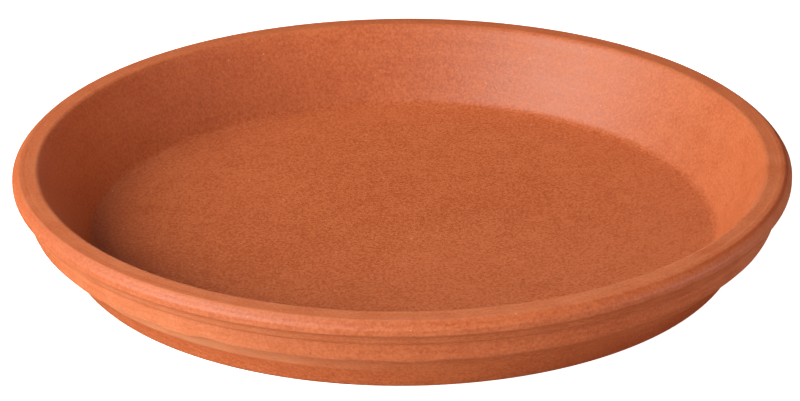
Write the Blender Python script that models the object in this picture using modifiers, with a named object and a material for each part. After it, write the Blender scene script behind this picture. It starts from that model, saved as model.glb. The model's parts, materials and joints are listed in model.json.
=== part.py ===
"""Shallow round saucer of unglazed terracotta, made to stand under a plant pot and catch its drips.

It is one piece of fired clay: a flat floor, a wall that slopes outwards, and a thick rim over a turned bead and a
band. The whole dish is one outline turned about the Z axis. It stands on z = 0 with the axis through the origin.
Metres, +Z up.
"""

import math

import bpy

# Overall size
OUTER_DIAMETER = 0.300
HEIGHT = 0.0353

# Rim: flat on top as far as a slight edge, then a broad crown that rounds over to the widest point. The crown is a
# part of an ellipse from CROWN_START degrees above the horizontal down to the horizontal. Under it a small round
# turns in, from RIM_LOWER_START to RIM_LOWER_END degrees
RIM_WIDTH = 0.0099
RIM_INNER_ROUND = 0.0010
CROWN_HALF_WIDTH = 0.0048
CROWN_DROP = 0.0051
CROWN_START = 72
RIM_LOWER_ROUND = 0.0012
RIM_LOWER_START = -25
RIM_LOWER_END = -60

# Bead under the rim: a narrow ring between two grooves
UPPER_GROOVE_DEPTH = 0.0045
UPPER_GROOVE_DROP = 0.0081
BEAD_DEPTH = 0.0039
BEAD_HEIGHT = 0.0033
BEAD_SLOPE_DROP = BEAD_HEIGHT / 4
BEAD_FACE_HEIGHT = BEAD_HEIGHT / 4
LOWER_GROOVE_DEPTH = 0.0058

# Band under the bead, which overhangs the base wall a little
BAND_DEPTH = 0.0054
BAND_HEIGHT = 0.0074
BAND_TAPER = 0.0010
BAND_UPPER_ROUND = 0.0010
BAND_LOWER_ROUND = 0.0022
BAND_OVERHANG = 0.0037

# Walls, floor and foot. Both slopes are measured from the vertical
OUTER_SLOPE = math.radians(33.4)
INNER_SLOPE = math.radians(32.3)
FLOOR_LEVEL = 0.0058
FLOOR_FILLET = 0.0050
FOOT_ROUND = 0.0008
FOOT_RING_WIDTH = 0.0140
FOOT_RECESS = 0.0008
RECESS_EDGE_WIDTH = 0.0016

# Fineness of the faceted solid
STEPS_ROUND = 96
CROWN_STEPS = 7
FILLET_STEPS = 6
BAND_ROUND_STEPS = 4
EDGE_STEPS = 3
RIM_LOWER_STEPS = 2
MERGE_DISTANCE = 0.00001

# Finish of the clay
CLAY_COLOR = (0.52, 0.16, 0.058, 1.0)
CLAY_ROUGHNESS = 0.85


def arc(centre, radii, start, end, segments):
    """Points (r, z) on an ellipse's arc from angle start to angle end, in degrees, both ends included."""
    points = []
    for index in range(segments + 1):
        angle = math.radians(start + (end - start) * index / segments)
        points.append((centre[0] + radii[0] * math.cos(angle), centre[1] + radii[1] * math.sin(angle)))
    return points


def rounded_corner(before, corner, after, radius, segments):
    """Points (r, z) of an arc that rounds the corner between two straight runs of an outline."""
    to_before = math.atan2(before[1] - corner[1], before[0] - corner[0])
    to_after = math.atan2(after[1] - corner[1], after[0] - corner[0])
    turn = (to_after - to_before + math.pi) % (2 * math.pi) - math.pi
    half = abs(turn) / 2
    middle = to_before + turn / 2
    reach = radius / math.sin(half)
    centre = (corner[0] + reach * math.cos(middle), corner[1] + reach * math.sin(middle))
    swing = math.degrees(math.pi - 2 * half)
    facing = math.degrees(middle) + 180
    side = math.copysign(1, turn)
    return arc(centre, (radius, radius), facing + side * swing / 2, facing - side * swing / 2, segments)


def inside_outline():
    """From the axis across the floor and up the inner wall to the flat top of the rim."""
    rim_inner = OUTER_DIAMETER / 2 - RIM_WIDTH
    floor_corner = rim_inner - (HEIGHT - FLOOR_LEVEL) * math.tan(INNER_SLOPE)
    centre = (0.0, FLOOR_LEVEL)
    corner = (floor_corner, FLOOR_LEVEL)
    rim_edge = (rim_inner, HEIGHT)
    rim_top = (OUTER_DIAMETER / 2, HEIGHT)
    points = [centre]
    points += rounded_corner(centre, corner, rim_edge, FLOOR_FILLET, FILLET_STEPS)
    points += rounded_corner(corner, rim_edge, rim_top, RIM_INNER_ROUND, EDGE_STEPS)
    return points


def rim_and_bands_outline():
    """From the flat top of the rim over its crown and down across the bead and the band."""
    widest = OUTER_DIAMETER / 2
    widest_level = HEIGHT - CROWN_DROP
    crown_centre = (widest - CROWN_HALF_WIDTH, widest_level)
    crown_half_height = CROWN_DROP / math.sin(math.radians(CROWN_START))
    groove_level = HEIGHT - UPPER_GROOVE_DROP
    lower_groove_level = groove_level - BEAD_HEIGHT
    band_foot_level = lower_groove_level - BAND_HEIGHT
    lower_centre = (widest - RIM_LOWER_ROUND, widest_level)
    lower_radii = (RIM_LOWER_ROUND, RIM_LOWER_ROUND)
    bead_top = (widest - BEAD_DEPTH, groove_level - BEAD_SLOPE_DROP)
    bead_bottom = (widest - BEAD_DEPTH, bead_top[1] - BEAD_FACE_HEIGHT)
    band_top = (widest - BAND_DEPTH, lower_groove_level - BAND_UPPER_ROUND)
    band_corner = (band_top[0] - BAND_TAPER, band_foot_level)
    band_under = (band_corner[0] - BAND_OVERHANG, band_foot_level)
    points = arc(crown_centre, (CROWN_HALF_WIDTH, crown_half_height), CROWN_START, 0, CROWN_STEPS)
    points += arc(lower_centre, lower_radii, RIM_LOWER_START, RIM_LOWER_END, RIM_LOWER_STEPS)
    points.append((widest - UPPER_GROOVE_DEPTH, groove_level))
    points += [bead_top, bead_bottom]
    points.append((widest - LOWER_GROOVE_DEPTH, lower_groove_level))
    points.append(band_top)
    points += rounded_corner(band_top, band_corner, band_under, BAND_LOWER_ROUND, BAND_ROUND_STEPS)
    return points, band_under


def base_outline(band_under):
    """From under the band down the base wall, round the foot and across the underside to the axis."""
    foot_radius = band_under[0] - band_under[1] * math.tan(OUTER_SLOPE)
    foot = (foot_radius, 0.0)
    ring_inner = (foot_radius - FOOT_RING_WIDTH, 0.0)
    points = [band_under]
    points += rounded_corner(band_under, foot, ring_inner, FOOT_ROUND, EDGE_STEPS)
    points.append(ring_inner)
    points.append((ring_inner[0] - RECESS_EDGE_WIDTH, FOOT_RECESS))
    points.append((0.0, FOOT_RECESS))
    return points


def saucer_outline():
    """The dish's half section, from the axis at the floor, over the rim, and back to the axis underneath."""
    points = inside_outline()
    outside, band_under = rim_and_bands_outline()
    points += outside
    points += base_outline(band_under)
    return points


def turned(name, outline, collection):
    """An object whose outline in the XZ plane is turned once about the Z axis."""
    mesh = bpy.data.meshes.new(name)
    vertices = [(radius, 0.0, level) for radius, level in outline]
    edges = [(index, index + 1) for index in range(len(outline) - 1)]
    mesh.from_pydata(vertices, edges, [])
    body = bpy.data.objects.new(name, mesh)
    collection.objects.link(body)
    screw = body.modifiers.new("turn", "SCREW")
    screw.axis = "Z"
    screw.angle = 2 * math.pi
    screw.steps = STEPS_ROUND
    screw.render_steps = STEPS_ROUND
    screw.use_merge_vertices = True
    screw.merge_threshold = MERGE_DISTANCE
    screw.use_smooth_shade = True
    return body


def clay():
    """Unglazed fired clay: dull orange-brown with no sheen."""
    material = bpy.data.materials.new("fired_clay")
    material.use_nodes = True
    shader = material.node_tree.nodes["Principled BSDF"]
    shader.inputs["Base Color"].default_value = CLAY_COLOR
    shader.inputs["Roughness"].default_value = CLAY_ROUGHNESS
    shader.inputs["Metallic"].default_value = 0.0
    return material


for leftover in list(bpy.data.objects):
    bpy.data.objects.remove(leftover, do_unlink=True)

saucer = bpy.data.collections.new("terracotta_saucer")
bpy.context.scene.collection.children.link(saucer)

saucer_body = turned("saucer_body", saucer_outline(), saucer)
saucer_body.data.materials.append(clay())
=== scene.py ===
import json
import math

import bpy
import numpy as np
from mathutils import Euler, Matrix, Vector

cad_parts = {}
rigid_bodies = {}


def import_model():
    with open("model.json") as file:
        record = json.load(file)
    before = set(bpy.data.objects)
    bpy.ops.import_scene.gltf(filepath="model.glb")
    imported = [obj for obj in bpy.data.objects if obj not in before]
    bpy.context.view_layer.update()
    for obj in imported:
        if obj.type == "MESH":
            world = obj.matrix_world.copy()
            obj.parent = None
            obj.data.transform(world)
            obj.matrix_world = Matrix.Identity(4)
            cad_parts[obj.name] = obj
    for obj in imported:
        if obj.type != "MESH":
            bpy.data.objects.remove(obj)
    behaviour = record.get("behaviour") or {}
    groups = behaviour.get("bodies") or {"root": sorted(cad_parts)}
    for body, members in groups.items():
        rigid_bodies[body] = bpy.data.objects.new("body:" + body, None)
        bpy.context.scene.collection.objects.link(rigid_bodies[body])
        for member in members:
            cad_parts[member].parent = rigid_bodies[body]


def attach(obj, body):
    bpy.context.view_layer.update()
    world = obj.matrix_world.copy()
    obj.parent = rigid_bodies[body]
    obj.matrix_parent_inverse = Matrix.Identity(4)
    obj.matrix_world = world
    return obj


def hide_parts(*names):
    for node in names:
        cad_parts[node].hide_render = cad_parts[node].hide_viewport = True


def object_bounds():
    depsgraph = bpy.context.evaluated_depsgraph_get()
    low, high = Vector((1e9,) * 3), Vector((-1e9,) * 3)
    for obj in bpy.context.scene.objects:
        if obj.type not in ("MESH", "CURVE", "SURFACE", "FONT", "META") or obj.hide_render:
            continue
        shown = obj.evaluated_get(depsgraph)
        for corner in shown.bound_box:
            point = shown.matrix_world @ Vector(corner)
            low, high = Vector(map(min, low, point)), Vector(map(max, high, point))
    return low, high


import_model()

# The dish takes its width and height from this box, and stays inside it.
cad_low, cad_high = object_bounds()
scene_objects = bpy.context.scene.collection.objects

# Camera: a long lens, a little above the dish and square to it, so that the far wall shows whole over the
# near rim and the bands show below it.
VIEW_RISE = math.radians(23.81)
VIEW_DISTANCE = 1.32
VIEW_TILT = math.radians(-0.34)
LENS = 152.96
AIM_ASIDE = -0.0008
AIM_HEIGHT = 0.0153

camera = bpy.data.objects.new("camera", bpy.data.cameras.new("camera"))
scene_objects.link(camera)
camera.data.lens = LENS
camera.location = (
    AIM_ASIDE,
    -VIEW_DISTANCE * math.cos(VIEW_RISE),
    AIM_HEIGHT + VIEW_DISTANCE * math.sin(VIEW_RISE),
)
looking = Euler((math.pi / 2 - VIEW_RISE, 0.0, 0.0)).to_matrix()
camera.rotation_euler = (looking @ Matrix.Rotation(VIEW_TILT, 3, "Z")).to_euler()
bpy.context.scene.camera = camera

# Saucer: one dish of unglazed red earthenware. The clay is pressed on a turning plaster mould under a metal
# profile, which leaves fine rings, drags in the grooves and nicks at the edges. A wet sponge softens the rim,
# and firing leaves it matt, sandy and a little uneven in colour.
RIM_WIDTH = 0.0099
RIM_INNER_ROUND = 0.0018
LIP_VALLEY_INSET = 0.0038
LIP_VALLEY_DEPTH = 0.00012
LIP_VALLEY_ROUND = 0.0080
LIP_EDGE_INSET = 0.0027
LIP_EDGE_ROUND = 0.0012
LOWER_GROOVE_DEPTH = 0.0051
LOWER_GROOVE_DROP = 0.0108
GROOVE_ROUND = 0.0006
BAND_DEPTH = 0.0050
BAND_UPPER_ROUND = 0.0008
BAND_FOOT_DEPTH = 0.0063
BAND_FOOT_DROP = 0.0190
BAND_LOWER_ROUND = 0.0026
BAND_OVERHANG = 0.0040
OUTER_SLOPE = math.radians(33.4)
INNER_SLOPE = math.radians(32.3)
FLOOR_LEVEL = 0.0058
FLOOR_FILLET = 0.0042
FOOT_ROUND = 0.0008
FOOT_RING_WIDTH = 0.0140
FOOT_RECESS = 0.0008
RECESS_EDGE_WIDTH = 0.0016
RECESS_ROUND = 0.0006

radius = (cad_high.x - cad_low.x) / 2
height = cad_high.z - cad_low.z
rim_inner = radius - RIM_WIDTH
floor_corner = rim_inner - (height - FLOOR_LEVEL) * math.tan(INNER_SLOPE)
wall_middle = ((floor_corner + rim_inner) / 2, (FLOOR_LEVEL + height) / 2)
lip_valley = (radius - LIP_VALLEY_INSET, height - LIP_VALLEY_DEPTH)
lip_edge = (radius - LIP_EDGE_INSET, height)
groove_level = height - LOWER_GROOVE_DROP
band_foot = radius - BAND_FOOT_DEPTH
band_foot_level = height - BAND_FOOT_DROP
under_band = band_foot - BAND_OVERHANG
foot = under_band - band_foot_level * math.tan(OUTER_SLOPE)
foot_inner = foot - FOOT_RING_WIDTH


CORNER_SEGMENTS = 6
FILLET_SEGMENTS = 10


def arc(centre, size, start, end, segments):
    """Points (r, z) on an arc of this radius from angle start to angle end, in degrees."""
    angles = np.radians(np.linspace(start, end, segments + 1))
    return list(zip(centre[0] + size * np.cos(angles), centre[1] + size * np.sin(angles)))


def rounded(first, corners, last, segments=CORNER_SEGMENTS):
    """Points (r, z) of a run of straight edges from first to last, with its corners (r, z, round) rounded."""
    run = [first] + [corner[:2] for corner in corners] + [last]
    points = [first]
    for before, corner, after, size in zip(run, run[1:], run[2:], [corner[2] for corner in corners]):
        to_before = math.atan2(before[1] - corner[1], before[0] - corner[0])
        to_after = math.atan2(after[1] - corner[1], after[0] - corner[0])
        bend = (to_after - to_before + math.pi) % (2 * math.pi) - math.pi
        middle = to_before + bend / 2
        reach = size / math.sin(abs(bend) / 2)
        centre = (corner[0] + reach * math.cos(middle), corner[1] + reach * math.sin(middle))
        swing = math.copysign(90 - math.degrees(abs(bend) / 2), bend)
        outwards = math.degrees(middle) + 180
        points += arc(centre, size, outwards + swing, outwards - swing, segments)
    return points + [last]


def evenly(points, spacing):
    """The run of points again at even steps of about this spacing, as rows of (r, z)."""
    points = np.array(points)
    along = np.concatenate([[0.0], np.cumsum(np.hypot(*np.diff(points, axis=0).T))])
    steps = np.linspace(0.0, along[-1], math.ceil(along[-1] / spacing) + 1)
    return np.column_stack([np.interp(steps, along, points[:, 0]), np.interp(steps, along, points[:, 1])])


# The corners between the lip and the lower groove: how far each lies in from the widest line and below the
# top of the rim, and how rounded it is. The shoulder has a faint step on its way down to the widest line.
# Below that come a shallow groove and a bead that slopes inwards.
SHOULDER_AND_BEAD = [
    (0.0017, 0.0010, 0.0008),
    (0.00135, 0.0015, 0.0008),
    (0.0001, 0.0030, 0.0010),
    (0.0, 0.0054, 0.0007),
    (0.0019, 0.0067, 0.0007),
    (0.0026, 0.0075, 0.0012),
    (0.0036, 0.0097, 0.0008),
]

# The profile runs from the middle of the floor, over the rim, to the middle of the underside. The band has a
# soft lower edge that overhangs the base wall.
bowl = rounded(
    (0.0, FLOOR_LEVEL),
    [(floor_corner, FLOOR_LEVEL, FLOOR_FILLET)],
    wall_middle,
    FILLET_SEGMENTS,
)
rim_and_bands = rounded(
    wall_middle,
    [
        (rim_inner, height, RIM_INNER_ROUND),
        (*lip_valley, LIP_VALLEY_ROUND),
        (*lip_edge, LIP_EDGE_ROUND),
        *[(radius - inset, height - fall, size) for inset, fall, size in SHOULDER_AND_BEAD],
        (radius - LOWER_GROOVE_DEPTH, groove_level, GROOVE_ROUND),
        (radius - BAND_DEPTH, groove_level - 0.0010, BAND_UPPER_ROUND),
        (band_foot, band_foot_level, BAND_LOWER_ROUND),
        (under_band, band_foot_level, GROOVE_ROUND),
    ],
    ((under_band + foot) / 2, band_foot_level / 2),
)
base = rounded(
    rim_and_bands[-1],
    [
        (foot, 0.0, FOOT_ROUND),
        (foot_inner, 0.0, RECESS_ROUND),
        (foot_inner - RECESS_EDGE_WIDTH, FOOT_RECESS, RECESS_ROUND),
    ],
    (0.0, FOOT_RECESS),
)

# Its rings are close together where the tool has cut fine shapes, from the top of the rim to halfway round
# the corner under the band. They are far apart on the flats.
FLOOR_STEP = 0.0040
WALL_STEP = 0.0010
FINE_STEP = 0.00038
UNDERSIDE_STEP = 0.0110
rim_edge = next(index for index, point in enumerate(rim_and_bands) if point[0] > rim_inner + RIM_WIDTH / 4)
band_end = len(rim_and_bands) - 1 - CORNER_SEGMENTS // 2
stretches = [
    evenly(bowl[:2], FLOOR_STEP),
    evenly(bowl[1:], WALL_STEP),
    evenly(rim_and_bands[:rim_edge], WALL_STEP),
    evenly(rim_and_bands[rim_edge - 1 : band_end], FINE_STEP),
    evenly(rim_and_bands[band_end - 1 :], WALL_STEP),
    evenly(base[:-1], WALL_STEP),
    evenly(base[-2:], UNDERSIDE_STEP),
]
outline = np.concatenate([stretches[0]] + [stretch[1:] for stretch in stretches[1:]])
SEGMENTS = 448
turn = np.arange(SEGMENTS) * 2 * math.pi / SEGMENTS

# What the hand and the wheel do to it is worked out on a grid of rings by steps round the dish. Bearings run
# round the dish from its right-hand side, so 270 degrees is its front.
along = np.concatenate([[0.0], np.cumsum(np.hypot(*np.diff(outline, axis=0).T))])


def near(centre, reach):
    """1 where the profile comes nearest to centre (r, z), falling to 0 over this reach along it."""
    place = along[np.argmin(np.hypot(outline[:, 0] - centre[0], outline[:, 1] - centre[1]))]
    return np.exp(-(((along - place) / reach) ** 2))


def facing(bearing, spread):
    """1 at this bearing round the dish and falling to 0 over this spread, both in degrees."""
    gap = (np.degrees(turn) - bearing + 180) % 360 - 180
    return np.exp(-((gap / spread) ** 2))


def wander(seed, fewest, most):
    """A smooth random swing round the dish from -1 to 1, made of waves that fit round it this many times."""
    chance = np.random.default_rng(seed)
    total = np.zeros(SEGMENTS)
    for waves in range(fewest, most + 1):
        total += chance.normal() * np.cos(waves * turn + chance.uniform(0, 2 * math.pi))
    return total / np.abs(total).max()


def tool_rings(seed, spacing):
    """Random ridges down the profile about this far apart, from about -1 to 1."""
    chance = np.random.default_rng(seed)
    knots = chance.uniform(-1, 1, math.ceil(along[-1] / spacing) + 2)
    place = along / spacing
    before = place.astype(int)
    share = place - before
    ease = share * share * (3 - 2 * share)
    return knots[before] * (1 - ease) + knots[before + 1] * ease


# The tool drags wet clay over the outside, which half closes the grooves, most of all on the left, but leaves
# the widest line in place. The drag reaches over this many rings, and starts this many above that line.
DRAG_REACH = 6
SHOULDER_RINGS = 24
widest_ring = int(np.argmax(outline[:, 0]))
outer_side = slice(widest_ring - SHOULDER_RINGS, len(outline) - len(stretches[-1]) - len(stretches[-2]))
softened = outline.copy()
kernel = np.hanning(2 * DRAG_REACH + 3)[1:-1]
for axis in (0, 1):
    padded = np.pad(outline[outer_side, axis], DRAG_REACH, "edge")
    softened[outer_side, axis] = np.convolve(padded, kernel / kernel.sum(), "valid")
drag = 0.4 + 0.2 * wander(3, 2, 9) + 0.3 * facing(305, 30) + 0.5 * facing(195, 22)
drag = np.clip(drag, 0, 1)
grid_r = outline[:, :1] * (1 - drag) + softened[:, :1] * drag
grid_z = outline[:, 1:] * (1 - drag) + softened[:, 1:] * drag
grid_r[outer_side] += radius - grid_r.max(axis=0)

along_step = np.gradient(outline, axis=0)
along_step /= np.hypot(*along_step.T)[:, None]
normal_r, normal_z = -along_step[:, 1:], along_step[:, :1]

# Heights of the ridges that the tool leaves: fine and coarse ones outside, wide faint ones inside and on the
# floor.
FINE_RINGS = 0.00006
COARSE_RINGS = 0.00008
WALL_RINGS = 0.00005
FLOOR_RINGS = 0.00007
outside = np.zeros(len(outline))
outside[outer_side] = 1.0
inside = ((outline[:, 0] > floor_corner) & (along < along[np.argmax(outline[:, 1])])).astype(float)
on_floor = (along < floor_corner).astype(float)
lift = np.outer(outside * tool_rings(11, 0.0009), FINE_RINGS * (1 + 0.6 * wander(12, 1, 12)))
lift += np.outer(outside * tool_rings(13, 0.0016), COARSE_RINGS * wander(14, 1, 7))
lift += np.outer(inside * tool_rings(15, 0.0035), WALL_RINGS * (1 + 0.5 * wander(16, 1, 5)))
lift += np.outer(on_floor * tool_rings(17, 0.0120), FLOOR_RINGS * np.ones(SEGMENTS))

# The edge under the band is trimmed by hand while the wheel turns. It has a thin burr, wavers, sags at the
# left front, and is nicked at these bearings, over these spreads in degrees and to these depths.
BURR = 0.00012
EDGE_WAVER = 0.00022
EDGE_SAG = 0.0004
EDGE_NICKS = [
    (240.5, 1.3, 0.0006),
    (231.0, 1.0, 0.0003),
    (96.0, 1.6, 0.0005),
    (20.0, 1.1, 0.0004),
]
band_edge = (band_foot - 0.0003, band_foot_level + 0.0003)
lift += np.outer(near(band_edge, 0.0007), BURR * (0.5 + 0.5 * wander(21, 3, 30)))
drop = np.outer(near(band_edge, 0.0012), EDGE_WAVER * wander(22, 5, 34) - EDGE_SAG * facing(232, 18))
for bearing, spread, depth in EDGE_NICKS:
    lift -= np.outer(near(band_edge, 0.0011), depth * facing(bearing, spread))

# A small chip in the top of the band, just right of the front.
BAND_CHIP = 0.0003
lift -= np.outer(near((radius - BAND_DEPTH, groove_level - 0.0013), 0.0012), BAND_CHIP * facing(291, 2.2))

# On the right the lip was leant on while it was wet, so its outer edge turns down without a ridge.
VALLEY_FILL = 0.00012
EDGE_PRESS = 0.00016
leant_on = facing(345, 55)
lift += np.outer(near(lip_valley, 0.0012), VALLEY_FILL * leant_on)
lift -= np.outer(near(lip_edge, 0.0012), EDGE_PRESS * leant_on)

# Shallow dents from fingers and grit, all over the wall and rim.
DENTS = 90
DENT_SIZES = (0.0018, 0.0036)
DENT_DEPTHS = (0.00004, 0.00018)
chance = np.random.default_rng(31)
walls = (outline[:, 0] > floor_corner) & (along < along[outer_side.stop])
for dent in range(DENTS):
    ring = chance.choice(np.flatnonzero(walls))
    bearing = chance.uniform(0, 2 * math.pi)
    size = chance.uniform(*DENT_SIZES)
    depth = chance.uniform(*DENT_DEPTHS)
    sideways = outline[ring, 0] * ((turn - bearing + math.pi) % (2 * math.pi) - math.pi)
    distance = np.hypot(along[:, None] - along[ring], sideways[None, :])
    lift -= depth * np.exp(-((distance / size) ** 2) * 2)

# In the kiln the rim warps down a little, and comes to stand a little to one side of the foot.
WARP = 0.0002
LEAN = 0.0004
warp = WARP * (1 + wander(41, 2, 3)) / 2 * (outline[:, 1:] / height) ** 2
grid_r = grid_r + lift * normal_r
grid_z = np.clip(grid_z + lift * normal_z + drop - warp, 0.0, height)
lean = LEAN * (1 - grid_z / height)
grid_r = np.minimum(grid_r, radius - lean)

# Edges that turn outwards sharply are worn pale, but not where the lip was leant on. Corners that turn
# inwards get painted shade and some dirt.
EDGE_BEND = 900.0
bend = np.gradient(np.unwrap(np.arctan2(along_step[:, 1], along_step[:, 0]))) / np.gradient(along)
spread_out = np.hanning(9) / np.hanning(9).sum()
edge_profile = np.convolve(np.clip(-bend / EDGE_BEND, 0, 1), spread_out, "same")
crease_shade_and_dirt = np.convolve(np.clip(bend / EDGE_BEND, 0, 1), spread_out[2:-2] * 1.5, "same")
edge = np.outer(edge_profile, (0.75 + 0.25 * wander(51, 3, 12)) * (1 - leant_on))
shade_and_dirt = np.outer(crease_shade_and_dirt * 0.5, np.ones(SEGMENTS))

# Lines of painted shade: along the lip, most of all on its left; on the shoulder at the left; under the lip's
# edge at the right; in the corner under the band; and a wide painted shadow at the foot, right of the front.
# Each has its place on the profile, its reach and its strength round the dish.
lip_shade_line = 0.5 * facing(212, 26) + 0.2 * (1 - leant_on) + 0.15 * wander(52, 2, 10)
painted_shade_lines = [
    ((radius - 0.0030, height), 0.0018, lip_shade_line),
    ((radius, height - 0.0030), 0.0030, 0.5 * facing(200, 28)),
    ((radius - 0.0022, height - 0.0005), 0.0007, 1.4 * facing(345, 28)),
    ((under_band, band_foot_level), 0.0013, np.full(SEGMENTS, 0.8)),
    ((foot, 0.0), 0.0075, 1.3 * facing(312, 24)),
]
for centre, reach, strength in painted_shade_lines:
    shade_and_dirt += np.outer(near(centre, reach), strength)

# Painted light on the outside: paler clay at the right from just under the lip, partly real dust, and a
# painted highlight at the left front below the widest line, thicker on the base wall. A little painted light
# also lies on the right of the inner wall and at the floor's edge.
past_widest = along - along[widest_ring]
right_dust_and_light = outside * np.clip((past_widest + 0.0048) / 0.0012, 0, 1)
left_painted_highlight = outside * np.clip(past_widest / 0.0015, 0, 1)
left_painted_highlight *= 1 + 1.4 * (outline[:, 1] < band_foot_level)
dust_and_light = np.outer(right_dust_and_light, 1.1 * facing(346, 24)) + np.outer(left_painted_highlight, 0.5 * facing(232, 28))
dust_and_light += np.outer(inside, 0.25 * facing(30, 35))
dust_and_light += np.outer(on_floor * outline[:, 0] / floor_corner, 0.15 * facing(320, 60))

rings = range(1, len(outline) - 1)
points = [(0.0, 0.0, outline[0, 1])]
for ring in rings:
    x = grid_r[ring] * np.cos(turn) + lean[ring]
    y = grid_r[ring] * np.sin(turn)
    points += list(zip(x, y, grid_z[ring]))
points.append((0.0, 0.0, outline[-1, 1]))
faces = []
last_ring = 1 + (len(rings) - 1) * SEGMENTS
for step in range(SEGMENTS):
    after = (step + 1) % SEGMENTS
    faces.append((0, 1 + step, 1 + after))
    faces += [
        (start + step, start + SEGMENTS + step, start + SEGMENTS + after, start + after)
        for start in range(1, last_ring, SEGMENTS)
    ]
    faces.append((last_ring + step, len(points) - 1, last_ring + after))
mesh = bpy.data.meshes.new("saucer")
mesh.from_pydata(points, [], faces)
mesh.shade_smooth()
for name, amounts in [("edge", edge), ("shade_and_dirt", shade_and_dirt), ("dust_and_light", dust_and_light)]:
    values = np.concatenate([[0.0], amounts[1:-1].ravel(), [0.0]])
    mesh.attributes.new(name, "FLOAT", "POINT").data.foreach_set("value", values.astype(np.float32))
saucer = bpy.data.objects.new("saucer", mesh)
scene_objects.link(saucer)


class Signal:
    """One output of a shader node. Sums and products of signals add the Math nodes that work them out."""

    def __init__(self, tree, socket=None):
        self.tree = tree
        self.socket = socket

    def node(self, kind, settings, sockets, output=0):
        """Adds a node of this kind. Its settings are made first, then its sockets get values or links."""
        node = self.tree.nodes.new("ShaderNode" + kind)
        for name, value in settings.items():
            setattr(node, name, value)
        for name, value in sockets.items():
            if isinstance(value, Signal):
                self.tree.links.new(value.socket, node.inputs[name])
            else:
                node.inputs[name].default_value = value
        return Signal(self.tree, node.outputs[output] if node.outputs else None)

    def beside(self, output):
        """Another output of the same node."""
        return Signal(self.tree, self.socket.node.outputs[output])

    def maths(self, operation, *values):
        return self.node("Math", {"operation": operation}, dict(enumerate(values)))

    def __add__(self, other):
        return self.maths("ADD", self, other)

    def __radd__(self, other):
        return self.maths("ADD", other, self)

    def __sub__(self, other):
        return self.maths("SUBTRACT", self, other)

    def __rsub__(self, other):
        return self.maths("SUBTRACT", other, self)

    def __mul__(self, other):
        return self.maths("MULTIPLY", self, other)

    def __rmul__(self, other):
        return self.maths("MULTIPLY", other, self)

    def __truediv__(self, other):
        return self.maths("DIVIDE", self, other)

    def __pow__(self, other):
        return self.maths("POWER", self, other)

    def held(self):
        """The signal kept between 0 and 1."""
        return self.node("Clamp", {}, {"Value": self})

    def between(self, low, high):
        """0 below low, 1 above high and a smooth rise from one to the other."""
        return self.node(
            "MapRange",
            {"interpolation_type": "SMOOTHSTEP"},
            {"Value": self, "From Min": low, "From Max": high},
        )

    def blend(self, share, other):
        """This colour, with this share of the other colour laid over it."""
        return self.node("Mix", {"data_type": "RGBA"}, {0: share, 6: self, 7: other}, output=2)


DEEP_CLAY = (0.385, 0.079, 0.021, 1.0)
PALE_CLAY = (0.53, 0.138, 0.046, 1.0)
# This pale dusty colour also serves as painted highlight and painted light.
PALE_DUST_AND_HIGHLIGHT = (0.60, 0.24, 0.12, 1.0)
GRIT = (0.70, 0.42, 0.26, 1.0)
IRON = (0.16, 0.035, 0.018, 1.0)
# This groove colour also serves as painted shade.
GROOVE_SHADE_AND_DIRT = (0.34, 0.060, 0.012, 1.0)
SPONGE_COVER = 0.6
DUST_AND_LIGHT_COVER = 0.9
WEAR_COVER = 0.35
SHADE_AND_DIRT_COVER = 0.5
IRON_COVER = 0.5
PORE_COVER = 0.25
CLAY_ROUGHNESS = 0.5
GRAIN_DEPTH = 0.00011

clay = bpy.data.materials.new("fired_clay")
clay.use_nodes = True
clay.node_tree.nodes.clear()
clay_nodes = Signal(clay.node_tree)
place = clay_nodes.node("TexCoord", {}, {}, output="Object")
across = clay_nodes.node("SeparateXYZ", {}, {"Vector": place}, output="X")
back = across.beside("Y")
up = across.beside("Z")
out_from_axis = (across * across + back * back) ** 0.5


def cloud(size, detail, roughness=0.5):
    """Even noise whose patches are about this big, in metres."""
    sockets = {"Vector": place, "Scale": 1 / size, "Detail": detail, "Roughness": roughness}
    return clay_nodes.node("TexNoise", {}, sockets)


# How much more a step up the wall counts than a step outwards, and how near the middle turned lines fade out.
WALL_CLIMB = 1.9
HUB_SIZE = 0.004


def ring_noise(size, swing, detail):
    """Noise drawn out round the dish, as turning leaves it: lines this far apart that swing this often."""
    swept = clay_nodes.node(
        "CombineXYZ",
        {},
        {
            "X": (out_from_axis + up * WALL_CLIMB) / size,
            "Y": across / (out_from_axis + HUB_SIZE) * swing,
            "Z": back / (out_from_axis + HUB_SIZE) * swing,
        },
    )
    return clay_nodes.node("TexNoise", {}, {"Vector": swept, "Scale": 1.0, "Detail": detail})


def specks(cell, smallest, largest):
    """Round dots, one to a cell of this size in metres. Their radii are between these shares of a cell."""
    distance = clay_nodes.node("TexVoronoi", {}, {"Vector": place, "Scale": 1 / cell}, output="Distance")
    pick = clay_nodes.node("SeparateColor", {}, {"Color": distance.beside("Color")}, output="Red")
    size = smallest + (largest - smallest) * pick ** 3
    return (1 - distance / size).between(0.0, 0.5)


# The colour drifts in patches, mottles and rings between deep and pale clay, and sand gives it a grain.
# Specks of grit are pale, and specks of iron and open pores are dark.
patches = cloud(size=0.070, detail=2)
mottle = cloud(size=0.011, detail=3, roughness=0.6)
grain = cloud(size=0.0011, detail=2, roughness=0.7)
fine_rings = ring_noise(size=0.0013, swing=2.5, detail=2)
broad_rings = ring_noise(size=0.0070, swing=1.5, detail=1)
grit = specks(cell=0.0036, smallest=0.02, largest=0.14)
iron = specks(cell=0.0065, smallest=0.01, largest=0.12)
pores = specks(cell=0.0023, smallest=0.03, largest=0.16)
worn = clay_nodes.node("Attribute", {"attribute_name": "edge"}, {}, output="Fac")
shade_and_dirt_fac = clay_nodes.node("Attribute", {"attribute_name": "shade_and_dirt"}, {}, output="Fac")
dust_and_light_fac = clay_nodes.node("Attribute", {"attribute_name": "dust_and_light"}, {}, output="Fac")

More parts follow.
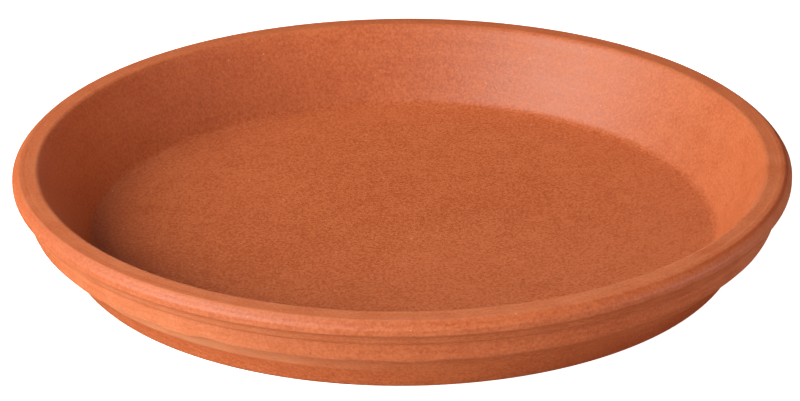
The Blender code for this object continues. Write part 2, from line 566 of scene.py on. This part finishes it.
on_floor_level = 1 - up.between(FLOOR_LEVEL + 0.001, FLOOR_LEVEL + 0.003)
tone = (
    0.5
    + on_floor_level * 0.06
    + (patches - 0.5) * 0.7
    + (mottle - 0.5) * 0.7
    + (fine_rings - 0.5) * 0.4
    + (broad_rings - 0.5) * 0.25
    + (grain - 0.5) * (2.9 + on_floor_level * 1.6)
).held()
shade = clay_nodes.node("Mix", {"data_type": "RGBA"}, {0: tone, 6: DEEP_CLAY, 7: PALE_CLAY}, output=2)

# The sponge leaves the lip's top paler and streaky, most of all at the front. Dust with painted light, wear,
# dirt with painted shade, and specks lie over that.
lip = up.between(height - 0.0009, height - 0.0003)
brushed = ring_noise(size=0.0022, swing=9.0, detail=3)
front = (0.55 - back * 2.5).held()
streaks = (brushed * 0.8 + mottle * 0.8 - 0.4).held()
shade = shade.blend(lip * front * streaks * SPONGE_COVER, PALE_DUST_AND_HIGHLIGHT)
# Painted light: paler clay where the dust attribute is high, partly real dust.
shade = shade.blend((dust_and_light_fac * (0.6 + (mottle - 0.5) * 0.8)).held() * DUST_AND_LIGHT_COVER, PALE_DUST_AND_HIGHLIGHT)
shade = shade.blend((worn * (0.3 + mottle * 0.8)).held() * WEAR_COVER, PALE_DUST_AND_HIGHLIGHT)
# Painted shade: darker clay in inward corners and along the lines of painted shade, with some real dirt.
shade = shade.blend(shade_and_dirt_fac.held() * SHADE_AND_DIRT_COVER, GROOVE_SHADE_AND_DIRT)
shade = shade.blend(grit * (grain * 0.9).held(), GRIT)
shade = shade.blend(iron * IRON_COVER, IRON)
shade = shade.blend(pores * PORE_COVER, IRON)

relief = grain + fine_rings * 0.3 - pores * 0.5
bump = clay_nodes.node("Bump", {}, {"Strength": 1.0, "Distance": GRAIN_DEPTH, "Height": relief})
roughness = CLAY_ROUGHNESS + (mottle - 0.5) * 0.2 + (grain - 0.5) * 0.2 + shade_and_dirt_fac * 0.2 + worn * 0.2
surface = clay_nodes.node(
    "BsdfPrincipled",
    {},
    {
        "Base Color": shade,
        "Roughness": roughness,
        "Diffuse Roughness": 0.5,
        "Specular IOR Level": 0.5,
        "Normal": bump,
    },
)
clay_nodes.node("OutputMaterial", {}, {"Surface": surface})
mesh.materials.append(clay)

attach(saucer, "root")
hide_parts("saucer_body")

# Studio: a wide sheet of white paper that glows as if lit from behind, so it shows no shadow. Bounced light
# meets the grey table under it instead, so that the white does not wash out the outside of the dish.
SHEET_SIZE = 8.0
PAPER_LEVEL = -0.0003
TABLE_LEVEL = -0.0008

bpy.ops.mesh.primitive_plane_add(size=SHEET_SIZE, location=(0.0, 0.0, PAPER_LEVEL))
paper_sheet = bpy.context.object
paper_sheet.name = "paper_sheet"
paper = bpy.data.materials.new("paper")
paper.use_nodes = True
white = paper.node_tree.nodes["Principled BSDF"]
white.inputs["Base Color"].default_value = (0.9, 0.9, 0.9, 1.0)
white.inputs["Roughness"].default_value = 0.9
white.inputs["Specular IOR Level"].default_value = 0.0
white.inputs["Emission Color"].default_value = (1.0, 1.0, 1.0, 1.0)
white.inputs["Emission Strength"].default_value = 1.0
paper_sheet.data.materials.append(paper)
paper_sheet.visible_diffuse = False
paper_sheet.visible_glossy = False
paper_sheet.visible_shadow = False

bpy.ops.mesh.primitive_plane_add(size=SHEET_SIZE, location=(0.0, 0.0, TABLE_LEVEL))
table_top = bpy.context.object
table_top.name = "table_top"
grey_board = bpy.data.materials.new("grey_board")
grey_board.use_nodes = True
grey = grey_board.node_tree.nodes["Principled BSDF"]
grey.inputs["Base Color"].default_value = (0.6, 0.6, 0.6, 1.0)
grey.inputs["Roughness"].default_value = 0.9
table_top.data.materials.append(grey_board)
table_top.visible_camera = False
table_top.visible_glossy = False

# Lamps: soft ovals, all as far from the dish. The strong key stands at the left, a little in front. Weak ones
# open the shade on the outside, and two behind light the far side, the lower one without glints.
LAMP_DISTANCE = 1.6


def lamp(name, bearing, rise, width, tall, power, colour, glints=True):
    """A soft oval lamp that faces the dish from this bearing and rise, in degrees."""
    light = bpy.data.objects.new(name, bpy.data.lights.new(name, "AREA"))
    scene_objects.link(light)
    flat = LAMP_DISTANCE * math.cos(math.radians(rise))
    light.location = (
        flat * math.cos(math.radians(bearing)),
        flat * math.sin(math.radians(bearing)),
        LAMP_DISTANCE * math.sin(math.radians(rise)),
    )
    light.rotation_euler = Vector(light.location).to_track_quat("Z", "Y").to_euler()
    light.data.shape = "ELLIPSE"
    light.data.size = width
    light.data.size_y = tall
    light.data.energy = power
    light.data.color = colour
    light.visible_glossy = glints


lamp("key_lamp", 208, 28, width=1.5, tall=1.2, power=43, colour=(1.0, 0.97, 0.91))
lamp("left_low_lamp", 228, 3, width=0.9, tall=0.3, power=7.0, colour=(0.85, 0.98, 0.85))
lamp("left_front_lamp", 240, 30, width=0.8, tall=0.6, power=5.0, colour=(0.95, 0.95, 0.9))
lamp("front_lamp", 280, 15, width=0.9, tall=0.4, power=5.3, colour=(1.0, 0.8, 0.5))
lamp("right_front_lamp", 328, 38, width=1.2, tall=0.8, power=3.0, colour=(1.0, 0.7, 0.62))
lamp("right_lamp", 350, 6, width=0.9, tall=0.3, power=6.5, colour=(1.0, 0.75, 0.8))
lamp("back_lamp", 90, 60, width=1.2, tall=1.0, power=2.2, colour=(1.0, 0.9, 0.87))
lamp("back_low_lamp", 85, 6, width=1.8, tall=0.4, power=8, colour=(1.0, 0.97, 0.92), glints=False)

world = bpy.data.worlds.new("studio_air")
world.use_nodes = True
world.node_tree.nodes["Background"].inputs["Color"].default_value = (1.0, 1.0, 1.0, 1.0)
world.node_tree.nodes["Background"].inputs["Strength"].default_value = 0.0
bpy.context.scene.world = world
bpy.context.scene.view_settings.view_transform = "Standard"
